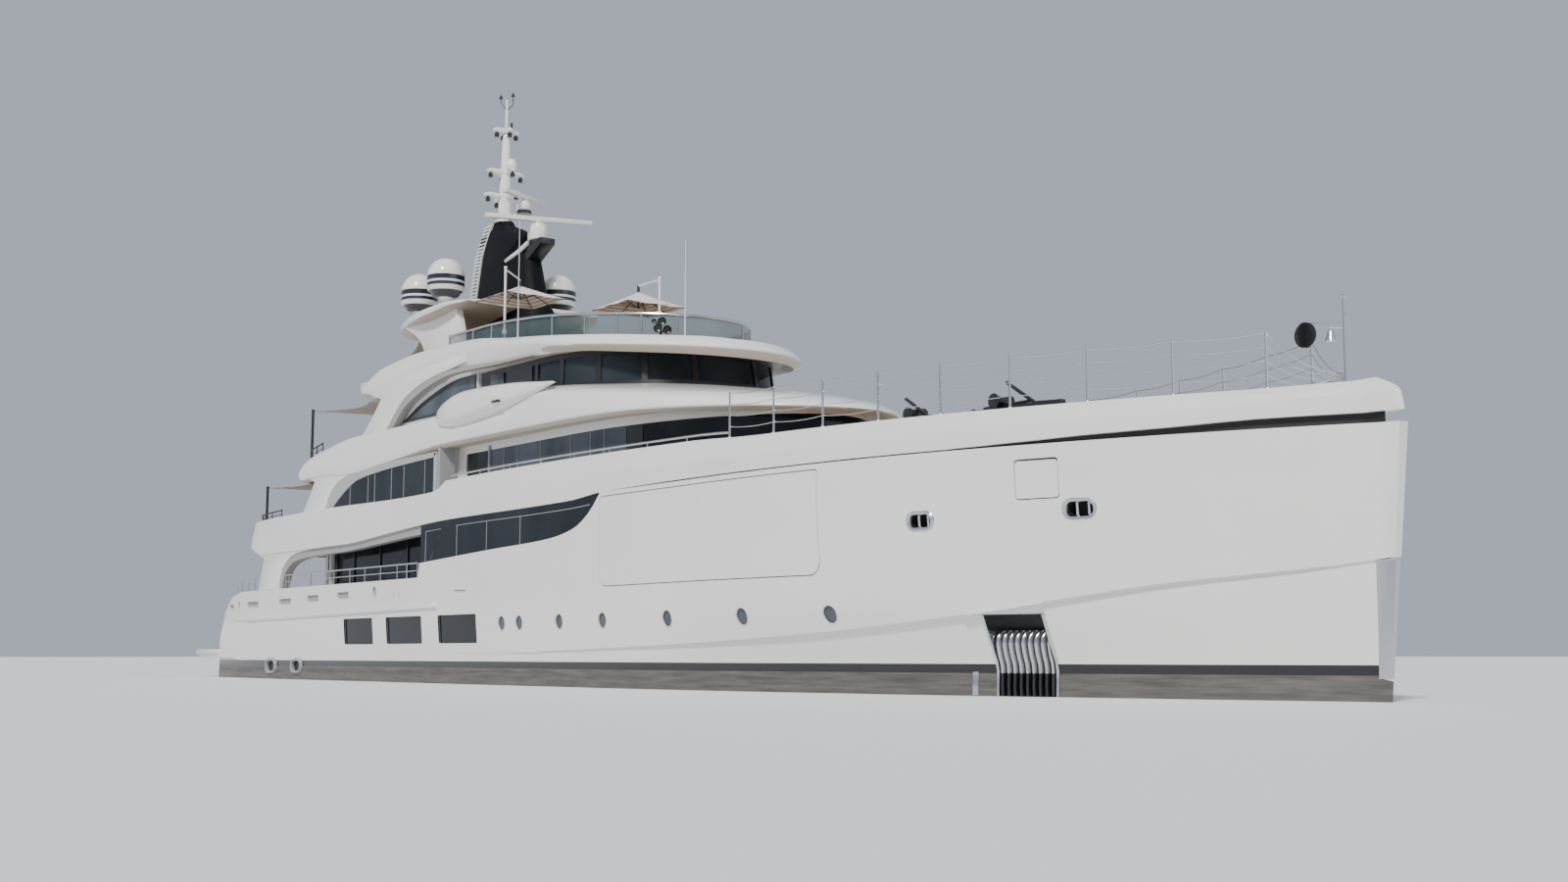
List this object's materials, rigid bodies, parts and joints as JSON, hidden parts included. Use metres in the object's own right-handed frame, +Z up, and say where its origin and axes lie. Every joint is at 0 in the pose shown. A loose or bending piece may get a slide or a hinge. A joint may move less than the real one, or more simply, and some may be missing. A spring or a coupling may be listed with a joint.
{
  "type": "motor yacht, 1:2 scale model",
  "caption": "Motor yacht with a full-beam bow, stepped decks with arched sides, shell doors, mast with radars and domes, awnings, and turning propellers and rudders.",
  "frame": {"origin": "on the waterline plane, on the centreline, halfway along the hull", "axes": "+X forward to the bow, +Y to port, +Z up"},
  "size_m": [31.5, 5.5, 13.703],
  "materials": {
    "white_paint": "high gloss",
    "black_paint": "satin",
    "antifouling": "matte",
    "dark_glass": "tinted, polished",
    "clear_glass": "polished",
    "stainless_steel": "polished",
    "bronze": "machined",
    "canvas": "woven",
    "teak": "oiled"
  },
  "bodies": {
    "yacht": {"hull": "white_paint", "topsides": "white_paint", "bulwark_starboard": "white_paint", "bulwark_port": "white_paint", "swim_platform": "white_paint", "anchor_plate_starboard": "stainless_steel", "anchor_plate_port": "stainless_steel", "upper_deck": "white_paint", "upper_deck_aft": "white_paint", "foredeck": "white_paint", "main_deck_house": "white_paint", "side_glass_starboard": "dark_glass", "side_glass_port": "dark_glass", "saloon_glass_starboard": "dark_glass", "saloon_glass_port": "dark_glass", "upper_deck_house": "white_paint", "upper_side_glass_starboard": "dark_glass", "upper_side_glass_port": "dark_glass", "upper_front_glass": "dark_glass", "bridge_deck": "white_paint", "wheelhouse": "black_paint", "wheelhouse_glass": "clear_glass", "sky_lounge": "white_paint", "lounge_glass_starboard": "dark_glass", "lounge_glass_port": "dark_glass", "sun_deck": "white_paint", "windbreak": "clear_glass", "mast_trunk": "black_paint", "mast_pole": "white_paint", "hardtop": "white_paint", "umbrella_aft_canopy": "canvas", "umbrella_aft_pole": "stainless_steel", "umbrella_fore_canopy": "canvas", "umbrella_fore_pole": "stainless_steel", "awning_sun_deck": "canvas", "awning_bridge_deck": "canvas", "awning_upper_deck": "canvas", "bow_rail_starboard": "stainless_steel", "bow_rail_port": "stainless_steel", "side_deck_rail_starboard": "stainless_steel", "side_deck_rail_port": "stainless_steel", "upper_aft_rail": "stainless_steel", "bridge_aft_rail": "stainless_steel"},
    "garage_door_starboard": {"garage_door_starboard": "white_paint"},
    "garage_door_port": {"garage_door_port": "white_paint"},
    "bow_hatch_starboard": {"bow_hatch_starboard": "white_paint"},
    "bow_hatch_port": {"bow_hatch_port": "white_paint"},
    "transom_door": {"transom_door": "white_paint"},
    "saloon_door": {"saloon_door": "dark_glass"},
    "upper_aft_door": {"upper_aft_door": "dark_glass"},
    "wheelhouse_door_starboard": {"wheelhouse_door_starboard": "dark_glass"},
    "wheelhouse_door_port": {"wheelhouse_door_port": "dark_glass"},
    "large_radar": {"large_radar_scanner": "white_paint"},
    "small_radar": {"small_radar_scanner": "white_paint"},
    "crane_boom_aft": {"crane_boom_aft": "black_paint"},
    "crane_boom_fore": {"crane_boom_fore": "black_paint"},
    "propeller_starboard": {"propeller_starboard": "bronze"},
    "propeller_port": {"propeller_port": "bronze"},
    "rudder_starboard": {"rudder_starboard": "antifouling"},
    "rudder_port": {"rudder_port": "antifouling"}
  },
  "joints": [
    {"name": "garage_door_starboard_hinge", "type": "hinge", "parent": "yacht", "child": "garage_door_starboard", "pos_m": [5.9125, -2.55, 2.965], "axis": [-1, 0, 0], "range_deg": [0, 85]},
    {"name": "garage_door_port_hinge", "type": "hinge", "parent": "yacht", "child": "garage_door_port", "pos_m": [5.9125, 2.55, 2.965], "axis": [1, 0, 0], "range_deg": [0, 85]},
    {"name": "bow_hatch_starboard_hinge", "type": "hinge", "parent": "yacht", "child": "bow_hatch_starboard", "pos_m": [11.606, -1.7368, 2.854], "axis": [-0.9506, -0.3103, 0], "range_deg": [0, 85]},
    {"name": "bow_hatch_port_hinge", "type": "hinge", "parent": "yacht", "child": "bow_hatch_port", "pos_m": [11.606, 1.7368, 2.854], "axis": [0.9506, -0.3103, 0], "range_deg": [0, 85]},
    {"name": "transom_door_hinge", "type": "hinge", "parent": "yacht", "child": "transom_door", "pos_m": [-13.286, 0, 1.56], "axis": [0, 1, 0], "range_deg": [0, 75]},
    {"name": "saloon_door_slide", "type": "slide", "parent": "yacht", "child": "saloon_door", "axis": [0, 1, 0], "range_m": [0, 1]},
    {"name": "upper_aft_door_slide", "type": "slide", "parent": "yacht", "child": "upper_aft_door", "axis": [0, 1, 0], "range_m": [0, 1]},
    {"name": "wheelhouse_door_starboard_slide", "type": "slide", "parent": "yacht", "child": "wheelhouse_door_starboard", "axis": [1, 0, 0], "range_m": [0, 0.44]},
    {"name": "wheelhouse_door_port_slide", "type": "slide", "parent": "yacht", "child": "wheelhouse_door_port", "axis": [1, 0, 0], "range_m": [0, 0.44]},
    {"name": "large_radar_spin", "type": "hinge", "parent": "yacht", "child": "large_radar", "pos_m": [-3.4, 0, 9.1], "axis": [0, 0, 1], "continuous": true},
    {"name": "small_radar_spin", "type": "hinge", "parent": "yacht", "child": "small_radar", "pos_m": [-4, 0, 9.67], "axis": [0, 0, 1], "continuous": true},
    {"name": "crane_boom_aft_luff", "type": "hinge", "parent": "yacht", "child": "crane_boom_aft", "pos_m": [8.45, -0.95, 3.66], "axis": [0, -1, 0], "range_deg": [0, 70]},
    {"name": "crane_boom_fore_luff", "type": "hinge", "parent": "yacht", "child": "crane_boom_fore", "pos_m": [10.075, -0.9, 3.66], "axis": [0, -1, 0], "range_deg": [0, 70]},
    {"name": "propeller_starboard_spin", "type": "hinge", "parent": "yacht", "child": "propeller_starboard", "pos_m": [-11.2, -1.175, -1.05], "axis": [1, 0, 0], "continuous": true},
    {"name": "propeller_port_spin", "type": "hinge", "parent": "yacht", "child": "propeller_port", "pos_m": [-11.2, 1.175, -1.05], "axis": [1, 0, 0], "continuous": true},
    {"name": "rudder_starboard_turn", "type": "hinge", "parent": "yacht", "child": "rudder_starboard", "pos_m": [-12.15, -1.175, -0.9], "axis": [0, 0, 1], "range_deg": [-35, 35]},
    {"name": "rudder_port_turn", "type": "hinge", "parent": "yacht", "child": "rudder_port", "pos_m": [-12.15, 1.175, -0.9], "axis": [0, 0, 1], "range_deg": [-35, 35]}
  ],
  "couplings": [
    {"joint": "rudder_port_turn", "follows": "rudder_starboard_turn", "ratio": 1}
  ]
}
